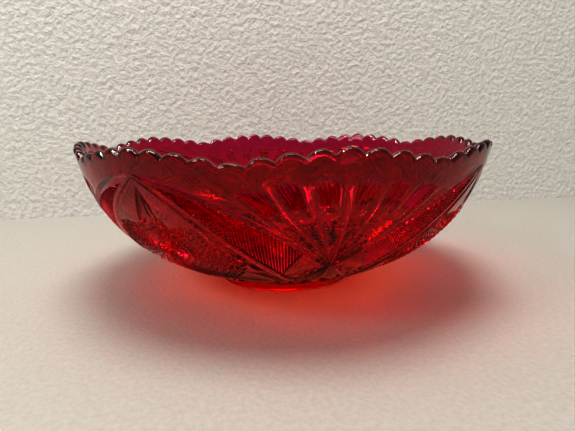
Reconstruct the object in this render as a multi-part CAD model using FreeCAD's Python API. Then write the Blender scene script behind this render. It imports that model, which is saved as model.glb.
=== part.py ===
import FreeCAD, Part
import math
import os

# One moulded glass bowl, in millimetres. The origin is the centre of the foot's rest face, +Z is up,
# and the middle of one of the four fans faces -Y.

# Driving dimensions
rim_radius = 127.0             # outside of the wall at the height of the tallest scallop
bowl_height = 90.0             # rest face to the top of the tallest scallop
wall_thickness = 5.0           # at the rim
foot_radius = 45.0             # outside of the ring that the bowl stands on
foot_height = 5.5              # rest face to the start of the wall
foot_ring_width = 6.0
foot_edge_rounding = 1.0
underside_height = 3.0         # the underside inside the ring is set up by this much
floor_height = 10.0            # top face of the floor inside the bowl
floor_flat_radius = 18.0       # where the inside starts to rise

# Rim: eight shallow lobes, each a run of small rounded scallops
lobe_count = 8
scallops_per_lobe = 8
lobe_drop = 6.1                # how far the rim sinks from the crest of a lobe to the dip between two
scallop_depth = 3.0            # valley between two scallops, below their tops
trim_allowance = 3.0           # the wall is turned this much too tall before the rim is cut

# Pressed cuts on the outside of the wall. Each is a straight V-shaped cut that just grazes the round
# wall, so it comes out leaf-shaped. Its middle is given by its share of the wall's line from foot to
# rim and by its angle from the motif's middle, and its lean is the angle from straight up.
motif_count = 4
fan_cut_middle = 0.67
fan_cut_depth = 1.3
fan_cut_steps = (-2.5, -1.5, -0.5, 0.5, 1.5, 2.5)
fan_cut_spacing = 5.0          # degrees around the bowl
fan_cut_spread = 17.0          # degrees of lean from one cut to the next
band_cut_middle = 0.67         # the band beside an arch has a cut along each of its two edges
band_cut_angle = 26.0          # degrees from the arch's middle, on both sides
band_cut_lean = 50.0
band_cut_depth = 1.6
arch_cut_middle = 0.75
arch_cut_angle = 8.0
arch_cut_lean = 47.0
arch_cut_depth = 1.8

# Star on the underside
star_ray_count = 24
star_ray_depth = 1.2
star_inner_radius = 4.0
star_outer_radius = 36.0

up = FreeCAD.Vector(0, 0, 1)
centre = FreeCAD.Vector(0, 0, 0)

# The wall's outer and inner lines are each one smooth four-pole curve from foot to rim, in the X-Z plane
outer_poles = [
    FreeCAD.Vector(foot_radius, 0, foot_height),
    FreeCAD.Vector(foot_radius + 72.3, 0, foot_height + 18.8),
    FreeCAD.Vector(rim_radius - 4.9, 0, bowl_height - 19.4),
    FreeCAD.Vector(rim_radius, 0, bowl_height),
]
inner_rim_radius = rim_radius - wall_thickness
inner_poles = [
    FreeCAD.Vector(floor_flat_radius, 0, floor_height),
    FreeCAD.Vector(floor_flat_radius + 90.0, 0, floor_height),
    FreeCAD.Vector(inner_rim_radius - 3.4, 0, bowl_height - 14.6),
    FreeCAD.Vector(inner_rim_radius, 0, bowl_height),
]


def curve_through(poles):
    curve = Part.BezierCurve()
    curve.setPoles(poles)
    return curve


def past_the_end(poles, rise):
    # The point that is this much higher than the last pole, on the line that the curve leaves along
    last = poles[-1]
    direction = last - poles[-2]
    return last + direction * (rise / direction.z)


def turned_body():
    outer_top = past_the_end(outer_poles, trim_allowance)
    inner_top = past_the_end(inner_poles, trim_allowance)
    ring_inside = foot_radius - foot_ring_width
    r = foot_edge_rounding
    # Each foot edge is rounded by a quarter circle, given by the angle at its middle
    bend = r * (1 - math.cos(math.pi / 4))
    outer_edge = Part.Arc(
        FreeCAD.Vector(foot_radius - r, 0, 0),
        FreeCAD.Vector(foot_radius - bend, 0, bend),
        FreeCAD.Vector(foot_radius, 0, r),
    )
    inner_edge = Part.Arc(
        FreeCAD.Vector(ring_inside, 0, r),
        FreeCAD.Vector(ring_inside + bend, 0, bend),
        FreeCAD.Vector(ring_inside + r, 0, 0),
    )
    underside_middle = FreeCAD.Vector(0, 0, underside_height)
    underside_edge = FreeCAD.Vector(ring_inside, 0, underside_height)
    floor_middle = FreeCAD.Vector(0, 0, floor_height)
    edges = [
        Part.makeLine(underside_middle, underside_edge),
        Part.makeLine(underside_edge, FreeCAD.Vector(ring_inside, 0, r)),
        inner_edge.toShape(),
        Part.makeLine(FreeCAD.Vector(ring_inside + r, 0, 0), FreeCAD.Vector(foot_radius - r, 0, 0)),
        outer_edge.toShape(),
        Part.makeLine(FreeCAD.Vector(foot_radius, 0, r), outer_poles[0]),
        curve_through(outer_poles).toShape(),
        Part.makeLine(outer_poles[-1], outer_top),
        Part.makeLine(outer_top, inner_top),
        Part.makeLine(inner_top, inner_poles[-1]),
        curve_through(inner_poles).toShape(),
        Part.makeLine(inner_poles[0], floor_middle),
        Part.makeLine(floor_middle, underside_middle),
    ]
    outline = Part.Wire(Part.__sortEdges__(edges))
    return Part.Face(outline).revolve(centre, up, 360)


def scallop_top(index):
    # Scallop 0 is the crest of a lobe, and the one half a lobe away is the dip between two lobes
    half_lobe = scallops_per_lobe / 2
    return bowl_height - lobe_drop * (abs(index) / half_lobe) ** 1.5


def scallop_valley(index, neighbour):
    return (scallop_top(index) + scallop_top(neighbour)) / 2 - scallop_depth


def scallop_outline(radius, left, top, right, clear_height):
    # Everything above one scallop, drawn on the upright plane that is this far from the axis
    half_width = radius * math.tan(math.radians(180.0 / (lobe_count * scallops_per_lobe)))
    low_left = FreeCAD.Vector(radius, -half_width, left)
    low_right = FreeCAD.Vector(radius, half_width, right)
    high_left = FreeCAD.Vector(radius, -half_width, clear_height)
    high_right = FreeCAD.Vector(radius, half_width, clear_height)
    arc = Part.Arc(low_left, FreeCAD.Vector(radius, 0, top), low_right)
    return Part.Wire([
        arc.toShape(),
        Part.makeLine(low_right, high_right),
        Part.makeLine(high_right, high_left),
        Part.makeLine(high_left, low_left),
    ])


def scallop_cutter(index):
    # The sides are radial, so neighbouring cutters meet without a gap or an overlap
    half_lobe = scallops_per_lobe // 2
    before = index - 1 if index > -half_lobe else half_lobe - 1
    left = scallop_valley(index, before)
    right = scallop_valley(index, index + 1)
    clear_height = bowl_height + 3 * trim_allowance
    near = scallop_outline(0.9 * inner_rim_radius, left, scallop_top(index), right, clear_height)
    far = scallop_outline(1.04 * rim_radius, left, scallop_top(index), right, clear_height)
    cutter = Part.makeLoft([near, far], True, True)
    cutter.rotate(centre, up, index * 360.0 / (lobe_count * scallops_per_lobe))
    return cutter


def cut_rim(body):
    half_lobe = scallops_per_lobe // 2
    for lobe in range(lobe_count):
        cutters = [scallop_cutter(index) for index in range(-half_lobe, half_lobe)]
        for cutter in cutters:
            cutter.rotate(centre, up, lobe * 360.0 / lobe_count)
        body = body.cut(cutters)
    return body


def turned(vector, angle):
    return FreeCAD.Rotation(up, angle).multVec(vector)


def groove_bar(middle, along, outward, length, depth):
    # A straight three-sided bar with its sharp edge sunk by the depth, as wide as it is deep twice over
    start = middle - along * (length / 2)
    across = along.cross(outward)
    sharp_edge = start - outward * depth
    wide_left = start + outward * depth + across * (2 * depth)
    wide_right = start + outward * depth - across * (2 * depth)
    outline = Part.makePolygon([sharp_edge, wide_left, wide_right, sharp_edge])
    return Part.Face(outline).extrude(along * length)


def wall_cut(facing, share, around, lean, depth):
    # Long enough to leave the round wall at both ends
    wall = curve_through(outer_poles)
    upwards = wall.tangent(share)[0]
    sideways = FreeCAD.Vector(0, 1, 0)
    outward = sideways.cross(upwards)
    angle = math.radians(lean)
    along = upwards * math.cos(angle) + sideways * math.sin(angle)
    middle = turned(wall.value(share), facing + around)
    along = turned(along, facing + around)
    outward = turned(outward, facing + around)
    return groove_bar(middle, along, outward, rim_radius, depth)


def fan_cuts(facing):
    cuts = []
    for step in fan_cut_steps:
        around = step * fan_cut_spacing
        cuts.append(wall_cut(facing, fan_cut_middle, around, step * fan_cut_spread, fan_cut_depth))
    return cuts


def arch_cuts(facing):
    cuts = []
    for side in (-1, 1):
        outer = side * band_cut_angle
        cuts.append(wall_cut(facing, band_cut_middle, outer, -side * band_cut_lean, band_cut_depth))
        inner = side * arch_cut_angle
        cuts.append(wall_cut(facing, arch_cut_middle, inner, -side * arch_cut_lean, arch_cut_depth))
    return cuts


def star_cuts():
    length = star_outer_radius - star_inner_radius
    middle = FreeCAD.Vector((star_outer_radius + star_inner_radius) / 2, 0, underside_height)
    cuts = []
    for ray in range(star_ray_count):
        angle = ray * 360.0 / star_ray_count
        along = turned(FreeCAD.Vector(1, 0, 0), angle)
        cuts.append(groove_bar(turned(middle, angle), along, up * -1, length, star_ray_depth))
    return cuts


os.makedirs("parts", exist_ok=True)
bowl = cut_rim(turned_body())
print("rim", bowl.isValid(), len(bowl.Solids), round(bowl.Volume))
bowl = bowl.cut(star_cuts())
print("star", bowl.isValid(), len(bowl.Solids), round(bowl.Volume))
quarter = 360.0 / motif_count
for motif in range(motif_count):
    # A fan faces -Y, and the arches stand between the fans
    facing = motif * quarter - 90.0
    bowl = bowl.cut(fan_cuts(facing) + arch_cuts(facing + quarter / 2))
print("bowl", bowl.isValid(), len(bowl.Solids), round(bowl.Volume))
bowl.Solids[0].exportStep("parts/bowl.step")
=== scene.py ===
import math

import bmesh
import bpy
from mathutils import Matrix, Vector


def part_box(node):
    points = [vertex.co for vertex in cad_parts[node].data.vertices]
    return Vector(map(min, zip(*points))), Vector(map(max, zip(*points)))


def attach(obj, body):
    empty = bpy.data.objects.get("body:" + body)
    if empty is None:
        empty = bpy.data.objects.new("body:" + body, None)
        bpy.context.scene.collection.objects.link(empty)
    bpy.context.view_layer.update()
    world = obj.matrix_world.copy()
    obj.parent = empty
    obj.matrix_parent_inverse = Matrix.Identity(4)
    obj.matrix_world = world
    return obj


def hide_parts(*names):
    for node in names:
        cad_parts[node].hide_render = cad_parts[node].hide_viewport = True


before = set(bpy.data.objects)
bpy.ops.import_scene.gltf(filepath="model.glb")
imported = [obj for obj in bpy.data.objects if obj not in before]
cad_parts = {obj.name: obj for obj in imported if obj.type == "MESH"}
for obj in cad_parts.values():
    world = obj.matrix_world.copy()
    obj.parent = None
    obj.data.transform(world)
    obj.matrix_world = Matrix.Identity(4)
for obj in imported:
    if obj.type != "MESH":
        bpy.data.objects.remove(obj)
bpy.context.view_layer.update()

# One pressed ruby glass bowl. Its relief is laid out on a flat sheet that covers half a motif, from the
# middle of an arch (0 degrees) to the middle of a fan (45 degrees). The sheet is cut along the pattern,
# wrapped onto the bowl's outline, mirrored and turned round the axis. Lengths here are millimetres.

bowlBox = [Vector(corner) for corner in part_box("bowl")]
halfMotif = 45.0

shape = {
    "rimRadius": (bowlBox[1].x - bowlBox[0].x) * 500,
    "height": bowlBox[1].z * 1000,
    "wall": 5.0,
    "foot": (45.0, 5.5),
    "floor": (18.0, 10.0),
    "outerPull": ((72.3, 18.8), (-4.9, -19.4)),
    "innerPull": ((90.0, 0.0), (-3.4, -14.6)),
    "lobe": 45.0,
    "lobeDrop": 6.1,
    "scallop": 5.625,
    "scallopDepth": 3.0,
    "rimBlend": 11.5,      # the rows under the rim follow the scallops down to here
    "relief": 0.65,        # the pattern's depths are scaled by this
    "columns": 48,         # strips of the flat sheet, side by side
    "rimSpan": 10.0,       # length of sheet that the rounded rim takes
    "rimRows": 8,
    "upperRows": (2.0, 4.0, 6.5, 9.0, 11.5),
    "wallRow": 3.0,
    "insideRow": 4.0,
    "snap": 0.04,          # a cut this near to a corner goes through it
    "sharpFrom": 26,       # degrees; flatter edges than this are shaded smooth
}

footRing = {
    "line": (              # distance past the wall, radius, height
        (0.9, 45.0, 4.6), (4.5, 45.0, 1.0), (5.3, 44.7, 0.3), (6.1, 44.0, 0.0), (10.1, 40.0, 0.0),
        (10.9, 39.3, 0.3), (11.7, 39.0, 1.0), (13.4, 38.6, 2.7), (14.1, 38.0, 3.0), (16.1, 36.0, 3.0),
        (22.1, 30.0, 3.0), (32.1, 20.0, 3.0), (42.1, 10.0, 3.0), (48.1, 4.0, 3.0), (52.1, 0.0, 3.0),
    ),
    "undersideStart": 14.1,
    "rayTurn": 15,         # degrees from one ray of the underside's star to the next
    "rayDepth": 1.2,
    "rayOuter": (33, 37),  # the rays run out between these radii
    "rayInner": (1, 8),
}


def bezierPoints(poles, count):
    points = []
    for step in range(count + 1):
        t = step / count
        parts = ((1 - t) ** 3, 3 * t * (1 - t) ** 2, 3 * t * t * (1 - t), t ** 3)
        points.append((sum(part * pole[0] for part, pole in zip(parts, poles)),
                       sum(part * pole[1] for part, pole in zip(parts, poles))))
    return points


def pulledPoles(start, end, pulls):
    first, last = pulls
    return (start, (start[0] + first[0], start[1] + first[1]), (end[0] + last[0], end[1] + last[1]), end)


class Outline:
    # A line of the turned shape, read by the distance along it from its upper end
    def __init__(self, points):
        self.points = points
        self.along = [0.0]
        for here, there in zip(points, points[1:]):
            self.along.append(self.along[-1] + math.dist(here, there))
        self.length = self.along[-1]

    def at(self, distance):
        low, high = 0, len(self.along) - 2
        while low < high:
            middle = (low + high + 1) // 2
            if self.along[middle] <= distance:
                low = middle
            else:
                high = middle - 1
        part = (distance - self.along[low]) / (self.along[low + 1] - self.along[low])
        here, there = self.points[low], self.points[low + 1]
        return Vector((here[0] + part * (there[0] - here[0]), here[1] + part * (there[1] - here[1])))

    def inward(self, distance, reach=0.6):
        step = (self.at(min(distance + reach, self.length)) - self.at(max(distance - reach, 0))).normalized()
        return Vector((step.y, -step.x))


rim = (shape["rimRadius"], shape["height"])
insideRim = (shape["rimRadius"] - shape["wall"], shape["height"])
outerPoints = bezierPoints(pulledPoles(shape["foot"], rim, shape["outerPull"]), 400)
innerPoints = bezierPoints(pulledPoles(shape["floor"], insideRim, shape["innerPull"]), 400)
outerWall = Outline(outerPoints[::-1])
innerWall = Outline(innerPoints[::-1] + [(radius, shape["floor"][1]) for radius in (10.0, 4.0, 0.0)])
print("outlines", round(outerWall.length, 1), round(innerWall.length, 1))

# The arches and what lies under them. A curve's poles are (degrees, millimetres down from the rim), and
# depths go into the wall, before they are scaled by shape["relief"].
pattern = {
    "arch": ((0.0, 11.7), (24.5, 18.5), (45.0, 66.0)),
    "fieldEdge": ((4.0, 16.0), (16.6, 35.0), (30.0, 72.0)),
    "grooveEdge": ((0.0, 13.4), (14.2, 31.0), (26.5, 65.0)),
    "tent": ((0.0, 14.0), (12.5, 31.2), (24.0, 69.0)),
    "tentGap": 0.3, "tentDepth": 0.3,
    "groove": 4.0, "grooveStart": (0.35, 0.8), "grooveLow": 0.45, "grooveDepth": 2.0, "innerDepth": 1.7,
    "apexFade": (0.25, 6),             # the grooves and fields get shallow towards the arch's top
    "fieldRim": 0.7, "pitch": 1.65, "fieldAcross": 0.78, "fieldValley": 2.5, "fieldTip": 0.3,
    "edgeCells": (0.3, 0.5, 2.2),      # the band's part cells have low tips
    "fieldTop": 14.0, "fieldStop": (38.0, 50.0, -0.25),
    "cornerDepth": 1.3, "cornerShare": 0.22, "cornerCuts": (0.11, 0.22, 0.33, 0.44, 0.66),
    "kiteTop": 17.5, "kiteCorner": (4.6, 38.5), "kiteFade": (15, 24),
    "kiteMiddle": 1.6, "kiteDepth": 2.9, "kiteEdge": 1.2, "kiteLow": 0.67, "kiteRay": 0.5, "kiteRays": 3,
    "facetEnd": 39.4, "facetArch": 1.5, "facetAcross": 8.9, "facetFade": (13, 20),
    "star": 57.0, "starRadius": 17.0, "starAcross": 9.4, "starEnd": 91.0,
    "starRays": 20, "starRing": 0.2, "starRings": 13,
    "starHigh": 0.1, "starLow": 2.4, "starLevel": 1.0, "starBorder": 0.9, "starSide": 1.2,
    "belt": 97.0, "beltWave": (1.5, 8), "lastRow": 121.0,
}

fan = {
    "hub": 64.0,                       # millimetres down; the ribs all point here
    "top": (12.7, 0.0125), "fade": 2.8,
    "ribs": (0.0, 0.17, 0.335, 0.52), "ribHalf": 0.021, "ribLeast": 0.3, "ribSide": 0.9,
    "ribCuts": (-1, -0.5, 0, 0.5, 1), "cutEnds": (8.0, 61.0),
    "sideSlope": 0.35,
    "petal": 0.155, "degree": 1.9,     # a petal's share of the fan, and millimetres in one degree
    "edge": 0.9,
    "flutes": 6, "fluteValley": 2.0, "fluteRidge": 0.3, "fluteEdge": 0.4, "fluteRun": 2.0,
    "dip": 0.02,                       # the rows of the fan bend down away from its middle
    "capTop": 26.5, "capEnd": 34.0, "capEdge": 1.3, "capFoot": 2.3, "capCrown": -0.1, "capRound": 0.96,
    "capCuts": (0.12, 0.3, 0.5, 0.7, 0.88),
    "ladder": 2.1, "ladderEnd": 49.0, "rungTop": 0.5,
    "rootDepth": 1.7,
}

lower = {                              # short flutes between the belt and the foot
    "flute": 5.625,                    # degrees from one to the next
    "arch": (9.0, 1.5),                # how far their tops bend down at the sides, and how sharply
    "run": (5.0, 4.0),                 # how fast they get deep and shallow again
    "endDip": 3.0,
    "level": 0.5, "depth": 1.3,
    "end": 5,                          # the last stretch comes back to the plain wall
    "belt": 2.0, "beltRise": 0.3,
}


def curveAt(poles, angle):
    # How far down a three-pole curve runs at an angle
    start, pull, end = poles
    a = start[0] - 2 * pull[0] + end[0]
    b = 2 * (pull[0] - start[0])
    c = start[0] - angle
    t = (-b + math.sqrt(max(b * b - 4 * a * c, 0))) / (2 * a)
    return (1 - t) ** 2 * start[1] + 2 * t * (1 - t) * pull[1] + t * t * end[1]


def archLine(angle):
    return curveAt(pattern["arch"], angle)


def grooveOut(angle):
    start, widening = pattern["grooveStart"]
    return archLine(angle) + min(pattern["groove"], start + widening * angle)


def grooveMiddle(angle):
    low = pattern["grooveLow"]
    return (1 - low) * archLine(angle) + low * grooveOut(angle)


def fieldEdge(angle):
    return max(curveAt(pattern["fieldEdge"], angle), grooveOut(angle))


def innerEdge(angle):
    return max(curveAt(pattern["grooveEdge"], angle), grooveOut(angle))


def tentLine(angle):
    return max(curveAt(pattern["tent"], angle), innerEdge(angle) + pattern["tentGap"])


def innerMiddle(angle):
    return 0.5 * (innerEdge(angle) + tentLine(angle))


def kiteLine(angle):
    across, low = pattern["kiteCorner"]
    return pattern["kiteTop"] + angle / across * (low - pattern["kiteTop"])


def facetEnd(angle):
    corner = pattern["kiteCorner"][0]
    part = angle / (2 * corner) + 0.5 if angle < corner else (angle - corner) / pattern["facetAcross"]
    return pattern["facetEnd"] - pattern["facetArch"] * math.sin(math.pi * min(part, 1))


def starTop(angle):
    return facetEnd(angle) + pattern["starBorder"]


def starFoot(angle):
    return pattern["starEnd"]


def fanTop(angle):
    return fan["top"][0] + fan["top"][1] * (halfMotif - angle) ** 2


def fanBend(angle):
    return fan["dip"] * (halfMotif - angle) ** 2


def capTop(angle):
    return fan["capTop"] + fanBend(angle)


def capEnd(angle):
    return fan["capEnd"] + fanBend(angle)


def beltLine(angle):
    height, waves = pattern["beltWave"]
    return pattern["belt"] + height * math.cos(math.radians(angle * waves))


def smooth(low, high, value):
    t = min(max((value - low) / (high - low), 0), 1)
    return t * t * (3 - 2 * t)


def mix(a, b, t):
    t = min(max(t, 0), 1)
    return a + (b - a) * t


def fold(value):
    # 0 on whole numbers, 1 half way between them
    return 1 - abs(2 * (value - math.floor(value)) - 1)


# What part of the pattern a place on the sheet belongs to
def regionAt(angle, down):
    if down < 0 or down > pattern["lastRow"]:
        return "plain"
    if down > beltLine(angle):
        return "lower"
    if down < archLine(angle):
        if down < fanTop(angle) or down > fan["hub"]:
            return "plain"
        return fanRegion(angle, down)
    if down < grooveOut(angle):
        return "groove"
    if down < fieldEdge(angle):
        stop, level, slant = pattern["fieldStop"]
        return "field" if angle < stop + slant * (down - level) else "corner"
    if down < innerEdge(angle):
        return "strip"
    if down < tentLine(angle):
        return "innerGroove"
    if down < facetEnd(angle):
        return "kite" if down > kiteLine(angle) else "facet"
    return "star" if down < pattern["starEnd"] else "spandrel"


def ribPlace(edge, down):
    # The angle of a straight line of the fan: a rib's middle, plus a share of its half width to a side
    rib, side = edge
    toHub = fan["hub"] - down
    return halfMotif - rib * toHub - side * (fan["ribHalf"] * toHub + fan["ribLeast"])


def petalPlace(angle, down):
    # The petal's number and the place across it, 0 and 1 at its ribs. On a rib the place is the side, -1 to 1
    ribs = fan["ribs"]
    for number, (low, high) in enumerate(zip(ribs, ribs[1:])):
        near, far = ribPlace((low, 1), down), ribPlace((high, -1), down)
        if angle > near:
            return None, (ribPlace((low, 0), down) - angle) / (ribPlace((low, 0), down) - near)
        if angle > far:
            return number, (near - angle) / (near - far)
    outer = ribs[-1]
    side = (ribPlace((outer, 0), down) - angle) / (ribPlace((outer, 0), down) - ribPlace((outer, 1), down))
    return (None, side) if side < 1 else (len(ribs) - 1, 1.0)


def fanRegion(angle, down):
    petal, place = petalPlace(angle, down)
    if petal is None:
        return "rib"
    if petal == len(fan["ribs"]) - 1:
        return "fanSide"
    if down < capTop(angle):
        return "flutes"
    if down < capEnd(angle):
        return "cap"
    if down < fan["ladderEnd"] + fanBend(angle):
        return "ladder"
    return "fanRoot"


fanParts = ("rib", "flutes", "cap", "ladder", "fanRoot", "fanSide")


def fanRelief(angle, down):
    petal, place = petalPlace(angle, down)
    fade = smooth(fanTop(angle), fanTop(angle) + fan["fade"], down)
    side = fan["ribSide"]
    if petal is None:
        return fade * side * place * place
    if petal == len(fan["ribs"]) - 1:
        return fade * min(side, max(0.0, fan["sideSlope"] * (archLine(angle) - down)))
    width = fan["degree"] * (ribPlace((0, 0), down) - ribPlace((fan["petal"], 0), down))
    edge = min(1.0, min(place, 1 - place) * width / fan["edge"])
    if down < capTop(angle):
        run = smooth(capTop(angle) - fan["fluteRun"], capTop(angle), down)
        value = mix(fan["fluteValley"], fan["fluteRidge"], fold(place * fan["flutes"]))
        return fade * mix(mix(side, value, edge + fan["fluteEdge"]), fan["capEdge"], run)
    if down < capEnd(angle):
        middle = (down - capTop(angle)) / (capEnd(angle) - capTop(angle)) * 2 - 1
        across = 2 * place - 1
        dome = max(0.0, 1 - middle * middle - across ** 2 * fan["capRound"])
        around = mix(side, mix(fan["capEdge"], fan["capFoot"], 0.5 + 0.5 * middle), edge)
        return mix(around, fan["capCrown"], math.sqrt(dome))
    if down < fan["ladderEnd"] + fanBend(angle):
        rung = fold((down - capEnd(angle)) / fan["ladder"])
        return mix(side, mix(fan["capFoot"], fan["rungTop"], rung), edge)
    return mix(side, fan["rootDepth"], edge)


def starRelief(angle, down):
    # Small pyramids between the rays and the rings
    out, turn = starPlace(angle, down)
    across = 1 - fold(turn * pattern["starRays"])
    along = 1 - fold(out / pattern["starRing"])
    return mix(pattern["starHigh"], pattern["starLow"], max(across, along))


def lowerRelief(angle, down):
    flute = fold(angle / lower["flute"])
    reach, bend = lower["arch"]
    rise, fall = lower["run"]
    start = beltLine(angle) + reach * (1 - flute) ** bend
    end = pattern["lastRow"] - lower["endDip"] * (1 - flute)
    hollow = smooth(start, start + rise, down) * (1 - smooth(end - fall, end, down))
    cross = 1 - smooth(beltLine(angle), beltLine(angle) + lower["belt"], down)
    runOut = smooth(pattern["lastRow"] - lower["end"], pattern["lastRow"], down)
    fluted = lower["level"] + lower["depth"] * hollow * math.sin(flute * math.pi / 2)
    return fluted - lower["level"] * runOut - lower["beltRise"] * cross


def apexFade(angle):
    least, reach = pattern["apexFade"]
    return min(1.0, least + angle / reach)


def grooveRelief(angle, down):
    middle = grooveMiddle(angle)
    if down < middle:
        return pattern["grooveDepth"] * (down - archLine(angle)) / (middle - archLine(angle))
    return mix(pattern["grooveDepth"], pattern["fieldRim"], (down - middle) / (grooveOut(angle) - middle))


def innerGrooveRelief(angle, down):
    middle = innerMiddle(angle)
    if down < middle:
        part = (down - innerEdge(angle)) / (middle - innerEdge(angle))
        return mix(pattern["fieldRim"], pattern["innerDepth"], part)
    return mix(pattern["innerDepth"], pattern["tentDepth"], (down - middle) / (tentLine(angle) - middle))


def cornerRelief(angle, down):
    # The small fan between two fields, round the hub
    share = (halfMotif - angle) / max(abs(down - fan["hub"]), 1.0)
    under = smooth(fan["hub"], fan["hub"] + 5, down)
    return pattern["fieldRim"] + pattern["cornerDepth"] * under * fold(share / pattern["cornerShare"])


def facetRelief(angle, down):
    inside = kiteSide(down)
    part = (angle - inside) / max(tentSide(down) - inside, 0.1)
    return mix(pattern["kiteEdge"], pattern["tentDepth"], part) * smooth(*pattern["facetFade"], down)


def kiteRelief(angle, down):
    part = angle / max(kiteSide(down), 0.1)
    low = pattern["kiteLow"]
    ray = pattern["kiteRay"] * fold(pattern["kiteRays"] * part)
    slope = mix(pattern["kiteDepth"], pattern["kiteEdge"], (part - low) / (1 - low))
    return smooth(*pattern["kiteFade"], down) * (mix(pattern["kiteMiddle"], slope, part / low) + ray)


def reliefAt(angle, down):
    region = regionAt(angle, down)
    if region == "plain":
        return 0.0
    if region == "lower":
        return lowerRelief(angle, down)
    if region in fanParts:
        return fanRelief(angle, down)
    if region == "groove":
        return apexFade(angle) * grooveRelief(angle, down)
    if region == "innerGroove":
        return apexFade(angle) * innerGrooveRelief(angle, down)
    if region in ("field", "strip"):
        return apexFade(angle) * pattern["fieldRim"]
    if region == "corner":
        return cornerRelief(angle, down)
    if region == "facet":
        return facetRelief(angle, down)
    if region == "kite":
        return kiteRelief(angle, down)
    level = pattern["starLevel"]
    value = starRelief(angle, down) if region == "star" else level
    value = mix(level, value, (down - facetEnd(angle)) / pattern["starBorder"])
    return mix(pattern["tentDepth"], value, (tentSide(down) - angle) / pattern["starSide"])


def tentSide(down):
    # The angle at which the tent's edge lies at this level
    start, pull, end = pattern["tent"]
    a = start[1] - 2 * pull[1] + end[1]
    b = 2 * (pull[1] - start[1])
    c = start[1] - down
    t = (-b + math.sqrt(max(b * b - 4 * a * c, 0))) / (2 * a)
    return (1 - t) ** 2 * start[0] + 2 * t * (1 - t) * pull[0] + t * t * end[0]


def kiteSide(down):
    across, low = pattern["kiteCorner"]
    return across * (down - pattern["kiteTop"]) / (low - pattern["kiteTop"])


# The sheet: degrees across, millimetres down. Above zero come the rounded rim and then the inside.
def makeSheet():
    sheet = bmesh.new()
    rimSpan = shape["rimSpan"]
    wallTop = shape["upperRows"][-1]
    stations = [-rimSpan - innerWall.length]
    rows = round(innerWall.length / shape["insideRow"])
    stations += [-rimSpan - innerWall.length * (1 - row / rows) for row in range(1, rows + 1)]
    stations += [-rimSpan * (1 - row / shape["rimRows"]) for row in range(1, shape["rimRows"] + 1)]
    stations += shape["upperRows"]
    wallRows = round((pattern["lastRow"] - wallTop) / shape["wallRow"])
    stations += [wallTop + (pattern["lastRow"] - wallTop) * row / wallRows for row in range(1, wallRows + 1)]
    stations += [0.5 * (pattern["lastRow"] + outerWall.length), outerWall.length]
    stations += [outerWall.length + row[0] for row in footRing["line"]]
    width = halfMotif / shape["columns"]
    row = [sheet.verts.new((width * column, -stations[0], 0)) for column in range(shape["columns"] + 1)]
    edges = [sheet.edges.new(pair) for pair in zip(row, row[1:])]
    for here, there in zip(stations, stations[1:]):
        made = bmesh.ops.extrude_edge_only(sheet, edges=edges)["geom"]
        bmesh.ops.translate(sheet, verts=[part for part in made if isinstance(part, bmesh.types.BMVert)],
                            vec=(0, here - there, 0))
        edges = [part for part in made if isinstance(part, bmesh.types.BMEdge) and part.is_boundary
                 and abs(part.verts[0].co.y - part.verts[1].co.y) < 1e-6]
    putInOrder(sheet)
    return sheet


def putInOrder(sheet):
    # By place on the sheet, so that the cuts that follow come out the same on every run
    def place(spot):
        return round(-spot.y, 3) * 1000 + spot.x
    sheet.verts.sort(key=lambda corner: place(corner.co))
    sheet.edges.sort(key=lambda edge: place(0.5 * (edge.verts[0].co + edge.verts[1].co)))
    sheet.faces.sort(key=lambda face: place(face.calc_center_median()))


def cutFaces(sheet, faces, start, end):
    # One straight cut through some faces, from one place on the sheet to another
    if not faces:
        return
    along = Vector((end[0] - start[0], start[1] - end[1], 0))
    across = Vector((-along.y, along.x, 0)).normalized()
    parts = dict.fromkeys(faces)     # each once, in the same order on every run
    for face in faces:
        parts.update(dict.fromkeys(face.edges))
        parts.update(dict.fromkeys(face.verts))
    bmesh.ops.bisect_plane(sheet, geom=list(parts), dist=shape["snap"],
                           plane_co=(start[0], -start[1], 0), plane_no=across)


def cutLine(sheet, line, first, last):
    # Cuts a curve across the sheet, with one straight cut in each column
    width = halfMotif / shape["columns"]
    strips = {}
    for face in sheet.faces:
        centre = face.calc_center_median()
        strip = int(centre.x / width)
        if first <= strip < last and 0 < -centre.y < pattern["lastRow"]:
            strips.setdefault(strip, []).append(face)
    for strip, faces in sorted(strips.items()):
        start, end = strip * width, (strip + 1) * width
        low, high = line(start + 1e-6), line(end - 1e-6)
        reach = [face for face in faces if overlaps(face, min(low, high), max(low, high))]
        cutFaces(sheet, reach, (start, low), (end, high))


def overlaps(face, low, high):
    downs = [-corner.co.y for corner in face.verts]
    if low == high:
        return min(downs) < low < max(downs)
    return min(downs) < high - 1e-4 and max(downs) > low + 1e-4


def facesOf(sheet, regions):
    chosen = []
    for face in sheet.faces:
        centre = face.calc_center_median()
        if -centre.y > 0 and regionAt(centre.x, -centre.y) in regions:
            chosen.append(face)
    return chosen


def petalOf(face):
    centre = face.calc_center_median()
    return petalPlace(centre.x, -centre.y)[0]


def cutArch(sheet):
    columns = shape["columns"]       # a line is cut from its first strip to its last
    for line in (archLine, grooveMiddle, grooveOut, fieldEdge, innerEdge, innerMiddle, tentLine):
        cutLine(sheet, line, 0, columns)
    cutLine(sheet, fanTop, 15, columns)
    cutLine(sheet, kiteLine, 0, 5)
    cutLine(sheet, facetEnd, 0, 18)
    cutLine(sheet, starTop, 0, 18)
    cutLine(sheet, starFoot, 0, 35)
    across, low = pattern["kiteCorner"]
    rays = 2 * pattern["kiteRays"]
    for ray in range(1, rays):
        cutFaces(sheet, facesOf(sheet, ("kite",)), (0.0, pattern["kiteTop"]), (across * ray / rays, low))
    stop, level, slant = pattern["fieldStop"]
    cutFaces(sheet, facesOf(sheet, ("field", "corner")), (stop, level), (stop + 20 * slant, level + 20))
    cutLine(sheet, beltLine, 0, columns)
    print("arch lines", len(sheet.faces))


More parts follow.
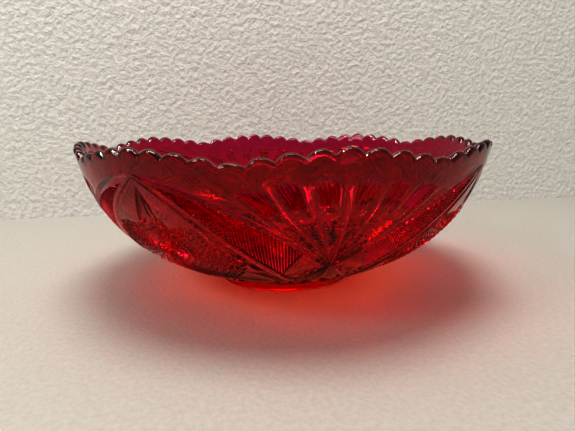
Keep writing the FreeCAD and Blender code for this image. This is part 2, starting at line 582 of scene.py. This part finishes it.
def cutFan(sheet):
    for line in (capTop, capEnd):
        cutLine(sheet, line, 12, shape["columns"])
    top, low = fan["cutEnds"]
    for rib in fan["ribs"]:
        for side in fan["ribCuts"]:
            if rib > 0 or side > 0:
                start = (ribPlace((rib, side), top), top)
                end = (ribPlace((rib, side), low), low)
                cutFaces(sheet, facesOf(sheet, fanParts), start, end)
    print("ribs", len(sheet.faces))
    halves = 2 * fan["flutes"]
    for petal, (inner, outer) in enumerate(zip(fan["ribs"], fan["ribs"][1:])):
        for step in range(1, halves):
            ends = [mix(ribPlace((inner, 1), down), ribPlace((outer, -1), down), step / halves)
                    for down in (top, low)]
            faces = [face for face in facesOf(sheet, ("flutes", "cap")) if petalOf(face) == petal]
            cutFaces(sheet, faces, (ends[0], top), (ends[1], low))
    print("flutes", len(sheet.faces))
    for part in fan["capCuts"]:
        cutBend(sheet, "cap", fan["capTop"] + part * (fan["capEnd"] - fan["capTop"]))
    rungs = int((fan["ladderEnd"] - fan["capEnd"]) / fan["ladder"] * 2)
    for rung in range(1, rungs + 1):
        cutBend(sheet, "ladder", fan["capEnd"] + rung * fan["ladder"] / 2)
    print("ladders", len(sheet.faces))


def cutField(sheet):
    # The band's cells are cut afresh, clear of the sheet's own rows and strips
    bmesh.ops.dissolve_faces(sheet, faces=facesOf(sheet, ("field",)))
    for step in range(1, int(halfMotif / pattern["fieldAcross"])):
        across = step * pattern["fieldAcross"]
        cutFaces(sheet, facesOf(sheet, ("field",)), (across, 0.0), (across, 90.0))
    level = pattern["fieldTop"]
    while level < pattern["belt"]:
        faces = [face for face in facesOf(sheet, ("field",)) if overlaps(face, level, level)]
        cutFaces(sheet, faces, (0.0, level), (halfMotif, level))
        level += pattern["pitch"]
    print("field", len(sheet.faces))


def cutCorner(sheet):
    hub = (halfMotif, fan["hub"])
    for share in pattern["cornerCuts"]:
        cutFaces(sheet, facesOf(sheet, ("corner",)), hub, (halfMotif - share * 30, fan["hub"] + 30))


def starPlace(angle, down):
    # Distance from the star's middle, 1 at its edge, and the turn round it, 0 at its top and 1 at its foot
    across = angle / pattern["starAcross"]
    along = (down - pattern["star"]) / pattern["starRadius"]
    return math.hypot(across, along), math.atan2(across, -along) / math.pi


def starSpot(out, turn):
    return (out * pattern["starAcross"] * math.sin(math.pi * turn),
            pattern["star"] - out * pattern["starRadius"] * math.cos(math.pi * turn))


def cutStar(sheet):
    rays = pattern["starRays"]

    def inner():
        return [face for face in facesOf(sheet, ("star",)) if deepInStar(face)]
    bmesh.ops.dissolve_faces(sheet, faces=inner())
    for ray in range(1, rays):
        cutFaces(sheet, inner(), starSpot(0, 0), starSpot(1, ray / rays))
    for ring in range(1, pattern["starRings"]):
        out = ring * pattern["starRing"]
        sectors = {}
        for face in inner():
            centre = face.calc_center_median()
            turn = starPlace(centre.x, -centre.y)[1]
            sectors.setdefault(min(int(turn * rays), rays - 1), []).append(face)
        for sector, faces in sorted(sectors.items()):
            cutFaces(sheet, faces, starSpot(out, sector / rays), starSpot(out, (sector + 1) / rays))
    facets = sheet.faces.layers.int.new("facet")
    for face in bmesh.ops.poke(sheet, faces=inner())["faces"]:
        face[facets] = 1


def deepInStar(face):
    centre = face.calc_center_median()
    return -centre.y > starTop(centre.x)


def cutBend(sheet, region, level):
    # Cuts one bent row of the fan through one kind of place
    width = halfMotif / shape["columns"]
    strips = {}
    for face in facesOf(sheet, (region,)):
        strips.setdefault(int(face.calc_center_median().x / width), []).append(face)
    for strip, faces in sorted(strips.items()):
        start, end = strip * width, (strip + 1) * width
        cutFaces(sheet, faces, (start, level + fanBend(start)), (end, level + fanBend(end)))


def crestDrop(angle):
    # How far the top of the glass lies under the highest scallop
    place = angle / shape["scallop"]
    count = shape["lobe"] / shape["scallop"]
    index = round(place)

    def peak(number):
        number = abs((number + count / 2) % count - count / 2)
        return shape["lobeDrop"] * (number / (count / 2)) ** 1.5
    part = place - index
    other = index + (1 if part > 0 else -1)
    valley = 0.5 * (peak(index) + peak(other)) + shape["scallopDepth"]
    return peak(index) + (valley - peak(index)) * (2 * abs(part)) ** 2


def underRim(top, distance):
    # The rows next to the rim follow its scallops, and less so further down
    blend = shape["rimBlend"]
    start = top + 0.5 * shape["wall"]
    return start + distance * (1 - start / blend) if distance < blend else distance


def placeOnRim(top, down):
    half = 0.5 * shape["wall"]
    turn = math.pi * -down / shape["rimSpan"]
    outside = outerWall.at(top + half)
    middle = 0.5 * (outside + innerWall.at(top + half))
    up = (outerWall.at(0) - outerWall.at(6)).normalized()
    return middle + (outside - middle) * math.cos(turn) + up * half * math.sin(turn)


def placeOnFoot(angle, past):
    line = footRing["line"]
    for here, there in zip(((0, *shape["foot"]),) + line, line):
        if past <= there[0] + 1e-4:
            part = (past - here[0]) / (there[0] - here[0])
            spot = Vector((mix(here[1], there[1], part), mix(here[2], there[2], part)))
            break
    if past > footRing["undersideStart"]:
        ray = fold(angle / footRing["rayTurn"])
        outer = 1 - smooth(*footRing["rayOuter"], spot.x)
        spot.y += footRing["rayDepth"] * ray * outer * smooth(*footRing["rayInner"], spot.x)
    return spot


def placeOn(angle, down):
    # Radius and height of a place on the sheet
    top = crestDrop(angle)
    if down <= -shape["rimSpan"]:
        return innerWall.at(underRim(top, -down - shape["rimSpan"]))
    if down < 0:
        return placeOnRim(top, down)
    if down <= outerWall.length:
        distance = underRim(top, down)
        return outerWall.at(distance) + outerWall.inward(distance) * shape["relief"] * reliefAt(angle, down)
    return placeOnFoot(angle, down - outerWall.length)


def raiseField(sheet):
    # Each cell of the field becomes a small pyramid: the depths of its corners and of its tip
    fieldFaces = facesOf(sheet, ("field",))
    inField = set(fieldFaces)
    depths = {}
    for face in fieldFaces:
        for corner in face.verts:
            if inField.issuperset(corner.link_faces):
                depths[corner] = pattern["fieldValley"]
    cell = pattern["pitch"] * pattern["fieldAcross"]
    least, reach, edgeTip = pattern["edgeCells"]
    for tip in bmesh.ops.poke(sheet, faces=fieldFaces)["verts"]:
        share = sum(face.calc_area() for face in tip.link_faces) / cell
        depths[tip] = mix(edgeTip, pattern["fieldTip"], (share - least) / reach)
    return depths


def wrapSheet(sheet, depths):
    for corner in sheet.verts:
        angle, down = corner.co.x, -corner.co.y
        if corner in depths:
            depth = shape["relief"] * depths[corner] * apexFade(angle)
            spot = outerWall.at(down) + outerWall.inward(down) * depth
        else:
            spot = placeOn(angle, down)
        turn = math.radians(angle)
        corner.co = (spot.x * math.cos(turn) / 1000, spot.x * math.sin(turn) / 1000, spot.y / 1000)
    bmesh.ops.triangulate(sheet, faces=[face for face in sheet.faces if len(face.verts) > 4])


def turnBy(sheet, corners, angle):
    turn = Matrix.Rotation(math.radians(angle), 3, "Z")
    bmesh.ops.rotate(sheet, cent=(0, 0, 0), matrix=turn, verts=corners)


def turnRound(sheet):
    # Half a motif becomes the whole bowl, with the middle of a fan at the front
    bmesh.ops.mirror(sheet, geom=sheet.verts[:] + sheet.edges[:] + sheet.faces[:], axis="Y", merge_dist=1e-6)
    quarter = sheet.verts[:] + sheet.edges[:] + sheet.faces[:]
    for turn in (1, 2, 3):
        copy = bmesh.ops.duplicate(sheet, geom=quarter)["geom"]
        corners = [part for part in copy if isinstance(part, bmesh.types.BMVert)]
        turnBy(sheet, corners, 2 * halfMotif * turn)
    turnBy(sheet, sheet.verts, halfMotif)
    bmesh.ops.remove_doubles(sheet, verts=sheet.verts, dist=2e-6)
    bmesh.ops.dissolve_degenerate(sheet, edges=sheet.edges, dist=1e-6)
    bmesh.ops.recalc_face_normals(sheet, faces=sheet.faces)


def makeBowl():
    sheet = makeSheet()
    print("sheet", len(sheet.faces))
    cutArch(sheet)
    cutFan(sheet)
    cutField(sheet)
    cutStar(sheet)
    print("star", len(sheet.faces))
    cutCorner(sheet)
    wrapSheet(sheet, raiseField(sheet))
    print("wrapped", len(sheet.faces))
    turnRound(sheet)
    openEdges = sum(1 for edge in sheet.edges if not edge.is_manifold)
    print("bowl", len(sheet.faces), "open edges", openEdges, "volume", round(sheet.calc_volume() * 1e9))
    mesh = bpy.data.meshes.new("ruby_bowl")
    sheet.to_mesh(mesh)
    sheet.free()
    mesh.shade_smooth()
    mesh.set_sharp_from_angle(angle=math.radians(shape["sharpFrom"]))
    flat = mesh.attributes["facet"]
    for polygon in mesh.polygons:
        if flat.data[polygon.index].value:
            polygon.use_smooth = False
    mesh.attributes.remove(flat)
    piece = bpy.data.objects.new("ruby_bowl", mesh)
    bpy.context.scene.collection.objects.link(piece)
    return piece


bowlPiece = makeBowl()
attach(bowlPiece, "root")
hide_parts("bowl")

glass = {
    "ior": 1.51,
    "shine": (0.68, 0.46, 0.46, 1),
    "absorbColour": (0.952, 0.14, 0.18, 1),
    "density": 560.0,
    "tints": (              # share of the height, colour let in there
        (0.05, (0.88, 0.95, 0.2, 1)), (0.4, (0.86, 0.03, 0.25, 1)), (0.95, (0.52, 0.0, 0.7, 1)),
    ),
    "roll": (55.0, 2.0, 0.12, 0.001),      # fire polish: noise scale, detail, strength, metres
    "haze": (140.0, 5.0),
    "hazeRange": (0.4, 0.75),
    "gloss": (0.008, 0.05),
    "scuffHeight": (0.0002, 0.0012),       # the rest face is scuffed from standing on tables
    "scuff": (0.14, 0.0),
}


def addNode(tree, kind, **values):
    node = tree.nodes.new(kind)
    for name, value in values.items():
        if name in node.inputs:
            node.inputs[name].default_value = value
        else:
            setattr(node, name, value)
    return node


def addNoise(tree, place, scale, detail):
    noise = addNode(tree, "ShaderNodeTexNoise", Scale=scale, Detail=detail)
    tree.links.new(place.outputs["Object"], noise.inputs["Vector"])
    return noise.outputs["Fac"]


def addBump(tree, height, strength, distance):
    bump = addNode(tree, "ShaderNodeBump", Strength=strength, Distance=distance)
    tree.links.new(height, bump.inputs["Height"])
    return bump.outputs[0]


def addRange(tree, value, before, after):
    change = addNode(tree, "ShaderNodeMapRange")
    change.inputs["From Min"].default_value, change.inputs["From Max"].default_value = before
    change.inputs["To Min"].default_value, change.inputs["To Max"].default_value = after
    tree.links.new(value, change.inputs["Value"])
    return change.outputs[0]


def heightTint(tree, height):
    # Warm where the glass is near the foot, cooler towards the rim
    ramp = addNode(tree, "ShaderNodeValToRGB")
    ramp.color_ramp.interpolation = "EASE"
    first, middle, last = glass["tints"]
    points = ramp.color_ramp.elements
    points[0].position, points[0].color = first
    points[1].position, points[1].color = last
    points.new(middle[0]).color = middle[1]
    scale = addNode(tree, "ShaderNodeMath", operation="DIVIDE")
    scale.inputs[1].default_value = shape["height"] / 1000
    tree.links.new(height, scale.inputs[0])
    tree.links.new(scale.outputs[0], ramp.inputs[0])
    return ramp.outputs[0]


def rubyGlass():
    material = bpy.data.materials.new("ruby_glass")
    material.use_nodes = True
    tree = material.node_tree
    tree.nodes.clear()
    out = addNode(tree, "ShaderNodeOutputMaterial")
    shader = addNode(tree, "ShaderNodeBsdfPrincipled")
    shader.inputs["Metallic"].default_value = 0.0
    shader.inputs["Transmission Weight"].default_value = 1.0
    shader.inputs["IOR"].default_value = glass["ior"]
    shader.inputs["Specular Tint"].default_value = glass["shine"]
    place = addNode(tree, "ShaderNodeTexCoord")
    split = addNode(tree, "ShaderNodeSeparateXYZ")
    tree.links.new(place.outputs["Object"], split.inputs[0])
    tree.links.new(heightTint(tree, split.outputs["Z"]), shader.inputs["Base Color"])
    scale, detail, strength, distance = glass["roll"]
    roll = addBump(tree, addNoise(tree, place, scale, detail), strength, distance)
    tree.links.new(roll, shader.inputs["Normal"])
    rough = addNode(tree, "ShaderNodeMath", operation="MAXIMUM")
    haze = addNoise(tree, place, *glass["haze"])
    tree.links.new(addRange(tree, haze, glass["hazeRange"], glass["gloss"]), rough.inputs[0])
    scuff = addRange(tree, split.outputs["Z"], glass["scuffHeight"], glass["scuff"])
    tree.links.new(scuff, rough.inputs[1])
    tree.links.new(rough.outputs[0], shader.inputs["Roughness"])
    absorb = addNode(tree, "ShaderNodeVolumeAbsorption")
    absorb.inputs["Color"].default_value = glass["absorbColour"]
    absorb.inputs["Density"].default_value = glass["density"]
    tree.links.new(shader.outputs[0], out.inputs["Surface"])
    tree.links.new(absorb.outputs[0], out.inputs["Volume"])
    return material


bowlPiece.data.materials.append(rubyGlass())

stage = {
    "size": 3.4,
    "wallAway": 0.222,
    "wallTurn": 9.0,       # degrees from square to the camera
    "wallHeight": 2.0,
    "shades": ((0.3, 0.93), (0.7, 1.05)),   # the noise darkens and lightens the colour by these
    "bump": 0.5,
}

tableFinish = {
    "colour": (0.45, 0.425, 0.38),
    "roughness": 0.7,
    "grain": 420,
    "detail": 5.0,
    "lumps": 0.0008,       # metres
}

plasterFinish = {
    "colour": (0.79, 0.785, 0.745),
    "roughness": 0.85,
    "grain": 210,
    "detail": 2.0,
    "lumps": 0.004,
}


def clearFromBehind(material):
    # The backdrop isn't in the way when the bowl is looked at from its other side
    tree = material.node_tree
    out = tree.nodes["Material Output"]
    side = addNode(tree, "ShaderNodeNewGeometry")
    clear = addNode(tree, "ShaderNodeBsdfTransparent")
    choose = addNode(tree, "ShaderNodeMixShader")
    tree.links.new(side.outputs["Backfacing"], choose.inputs[0])
    tree.links.new(tree.nodes["Principled BSDF"].outputs[0], choose.inputs[1])
    tree.links.new(clear.outputs[0], choose.inputs[2])
    tree.links.new(choose.outputs[0], out.inputs["Surface"])


def stageMaterial(name, finish):
    material = bpy.data.materials.new(name)
    material.use_nodes = True
    tree = material.node_tree
    shader = tree.nodes["Principled BSDF"]
    shader.inputs["Roughness"].default_value = finish["roughness"]
    place = addNode(tree, "ShaderNodeTexCoord")
    noise = addNoise(tree, place, finish["grain"], finish["detail"])
    ramp = addNode(tree, "ShaderNodeValToRGB")
    for element, (position, shade) in zip(ramp.color_ramp.elements, stage["shades"]):
        element.position = position
        element.color = tuple(min(1, shade * part) for part in finish["colour"]) + (1,)
    tree.links.new(noise, ramp.inputs[0])
    tree.links.new(ramp.outputs[0], shader.inputs["Base Color"])
    tree.links.new(addBump(tree, noise, stage["bump"], finish["lumps"]), shader.inputs["Normal"])
    return material


def makePlane(name, corners, material):
    sheet = bmesh.new()
    bmesh.ops.create_grid(sheet, x_segments=1, y_segments=1, size=0.5)
    for corner, spot in zip(sheet.verts, corners):
        corner.co = spot
    mesh = bpy.data.meshes.new(name)
    sheet.to_mesh(mesh)
    sheet.free()
    mesh.materials.append(material)
    plane = bpy.data.objects.new(name, mesh)
    bpy.context.scene.collection.objects.link(plane)


def makeStage():
    half = stage["size"] / 2
    floor = ((-half, -half, 0), (half, -half, 0), (-half, half, 0), (half, half, 0))
    makePlane("stage_floor", floor, stageMaterial("stage_table", tableFinish))
    turn = math.radians(stage["wallTurn"] - camera["heading"])
    along = Vector((math.cos(turn), math.sin(turn), 0)) * half
    away = Vector((-math.sin(turn), math.cos(turn), 0)) * stage["wallAway"]
    up = Vector((0, 0, stage["wallHeight"]))
    plaster = stageMaterial("stage_wall", plasterFinish)
    clearFromBehind(plaster)
    makePlane("stage_wall", (away - along, away + along, away - along + up, away + along + up), plaster)
    print("stage")


camera = {
    "place": (-0.0646, -0.2907, 0.0987),
    "heading": 12.98,      # degrees to the right of +Y
    "down": 11.62,
    "roll": -0.589,
    "lens": 27.81,
    "sensor": 36,
    "nearest": 0.01,
}


def makeCamera():
    heading, down, roll = (math.radians(camera[name]) for name in ("heading", "down", "roll"))
    ahead = Vector((math.sin(heading) * math.cos(down), math.cos(heading) * math.cos(down), -math.sin(down)))
    right = Vector((math.cos(heading), -math.sin(heading), 0))
    up = right.cross(ahead)
    acrossView = math.cos(roll) * right + math.sin(roll) * up
    upView = -math.sin(roll) * right + math.cos(roll) * up
    data = bpy.data.cameras.new("camera")
    data.sensor_fit = "HORIZONTAL"
    data.sensor_width = camera["sensor"]
    data.lens = camera["lens"]
    data.clip_start = camera["nearest"]
    made = bpy.data.objects.new("camera", data)
    turn = Matrix((acrossView, upView, -ahead)).transposed()
    made.matrix_world = Matrix.Translation(camera["place"]) @ turn.to_4x4()
    bpy.context.scene.collection.objects.link(made)
    bpy.context.scene.camera = made


lights = {                 # place, what it shines at, size and watts
    "top_light": ((-0.03, 0.0, 1.3), (0, 0, 0), (0.6, 0.6), 12),
    "window_light": ((-1.1, -0.35, 0.9), (0, 0, 0.05), (0.4, 0.4), 4),
    "glint_light": ((-0.4, 0.12, 1.1), (0, 0, 0.05), (0.8, 0.12), 18),
}

air = {
    "colour": (1.0, 0.97, 0.93, 1),
    "strength": 0.47,      # what lights the stage
    "seenMore": 0.4,       # what is looked at, also through the glass, is brighter by this
}


def makeLight(name, place, target, size, power):
    data = bpy.data.lights.new(name, "AREA")
    data.shape = "ELLIPSE"
    data.size, data.size_y = size
    data.energy = power
    made = bpy.data.objects.new(name, data)
    aim = (Vector(target) - Vector(place)).to_track_quat("-Z", "Y")
    made.matrix_world = Matrix.Translation(place) @ aim.to_matrix().to_4x4()
    bpy.context.scene.collection.objects.link(made)
    return made


def makeAir():
    world = bpy.data.worlds.new("studio")
    world.use_nodes = True
    tree = world.node_tree
    background = tree.nodes["Background"]
    background.inputs["Color"].default_value = air["colour"]
    paths = addNode(tree, "ShaderNodeLightPath")
    seen = addNode(tree, "ShaderNodeMath", operation="MAXIMUM")
    strength = addNode(tree, "ShaderNodeMath", operation="MULTIPLY_ADD")
    strength.inputs[1].default_value = air["seenMore"]
    strength.inputs[2].default_value = air["strength"]
    tree.links.new(paths.outputs["Is Camera Ray"], seen.inputs[0])
    tree.links.new(paths.outputs["Is Transmission Ray"], seen.inputs[1])
    tree.links.new(seen.outputs[0], strength.inputs[0])
    tree.links.new(strength.outputs[0], background.inputs["Strength"])
    bpy.context.scene.world = world


makeCamera()
makeStage()
for name, settings in lights.items():
    light = makeLight(name, *settings)
    if name == "glint_light":           # it only draws highlights on the glass
        light.visible_diffuse = False
        light.visible_transmission = False
makeAir()
print("lights")

view = bpy.context.scene.view_settings
view.view_transform = "Standard"
view.gamma = 0.72
view.exposure = 0.3
cycles = bpy.context.scene.cycles
cycles.max_bounces = 24
cycles.transmission_bounces = 20
cycles.glossy_bounces = 8
